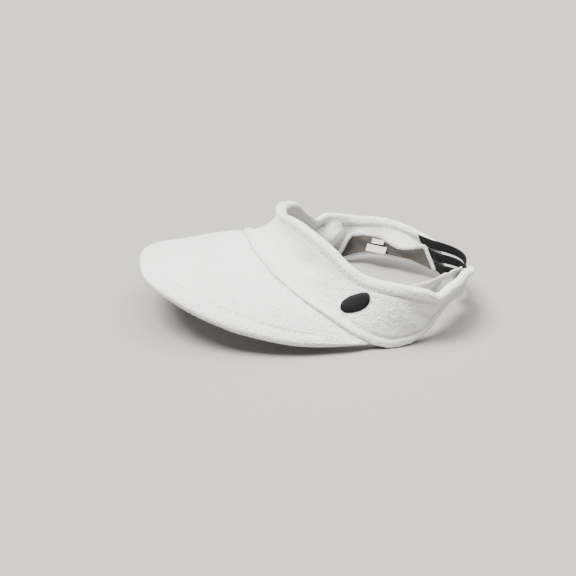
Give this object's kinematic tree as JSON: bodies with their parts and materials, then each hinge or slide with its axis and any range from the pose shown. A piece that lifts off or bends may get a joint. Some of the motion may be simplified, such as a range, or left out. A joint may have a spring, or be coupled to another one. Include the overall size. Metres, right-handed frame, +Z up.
{
  "type": "sun visor",
  "caption": "White terry cloth sun visor with a curved padded peak, an open crown band that stands up at the front, and a slotted black elastic across the back.",
  "frame": {"origin": "under the middle of the bounding box, on the surface that the visor lies on", "axes": "-Y the way the peak points, +X to the wearer's left, +Z up"},
  "size_m": [0.177, 0.2168, 0.0631],
  "materials": {
    "white_terry": "looped cotton terry, matte",
    "sweatband_cloth": "fine woven cotton, matte",
    "foam": "thin felted interlining",
    "board_plastic": "smooth flexible board",
    "white_thread": "spun polyester thread",
    "black_elastic": "ribbed woven elastic",
    "black_embroidery": "satin stitch with a slight sheen",
    "label_cloth": "smooth satin ribbon, blank"
  },
  "bodies": {
    "root": {"front_panel": "white_terry", "front_top_hem": "white_terry", "front_foam": "foam", "front_sweatband": "sweatband_cloth", "front_sweatband_tape": "sweatband_cloth", "front_hem_stitching": "white_thread", "peak_top_cover": "white_terry", "peak_under_cover": "white_terry", "peak_board": "board_plastic", "peak_topstitching": "white_thread", "elastic_lower": "black_elastic", "elastic_middle": "black_elastic", "elastic_upper": "black_elastic", "side_mark": "black_embroidery"},
    "left_side": {"left_side_panel": "white_terry", "left_top_hem": "white_terry", "left_bottom_hem": "white_terry", "left_sweatband": "sweatband_cloth", "left_sweatband_tape": "sweatband_cloth", "left_hem_stitching": "white_thread", "left_end_tack": "white_thread"},
    "right_side": {"right_side_panel": "white_terry", "right_top_hem": "white_terry", "right_bottom_hem": "white_terry", "right_sweatband": "sweatband_cloth", "right_sweatband_tape": "sweatband_cloth", "right_hem_stitching": "white_thread", "right_end_tack": "white_thread", "size_tab": "label_cloth"},
    "label": {"care_label": "label_cloth"}
  },
  "joints": [
    {"name": "left_flex", "type": "hinge", "parent": "root", "child": "left_side", "pos_m": [0.0905, 0.06084, 0.02], "axis": [0, 0, -1], "range_deg": [0, 15], "stiffness_Nm_per_rad": 0.4, "deforming": ["elastic_lower", "elastic_middle", "elastic_upper"]},
    {"name": "right_flex", "type": "hinge", "parent": "root", "child": "right_side", "pos_m": [-0.0905, 0.06084, 0.02], "axis": [0, 0, 1], "range_deg": [0, 15], "stiffness_Nm_per_rad": 0.4},
    {"name": "label_flip", "type": "hinge", "parent": "right_side", "child": "label", "pos_m": [-0.06076, 0.06557, 0.01641], "axis": [-0.7424, -0.6699, 0.0008], "range_deg": [0, 70]}
  ],
  "couplings": [
    {"joint": "right_flex", "follows": "left_flex", "ratio": 1}
  ]
}
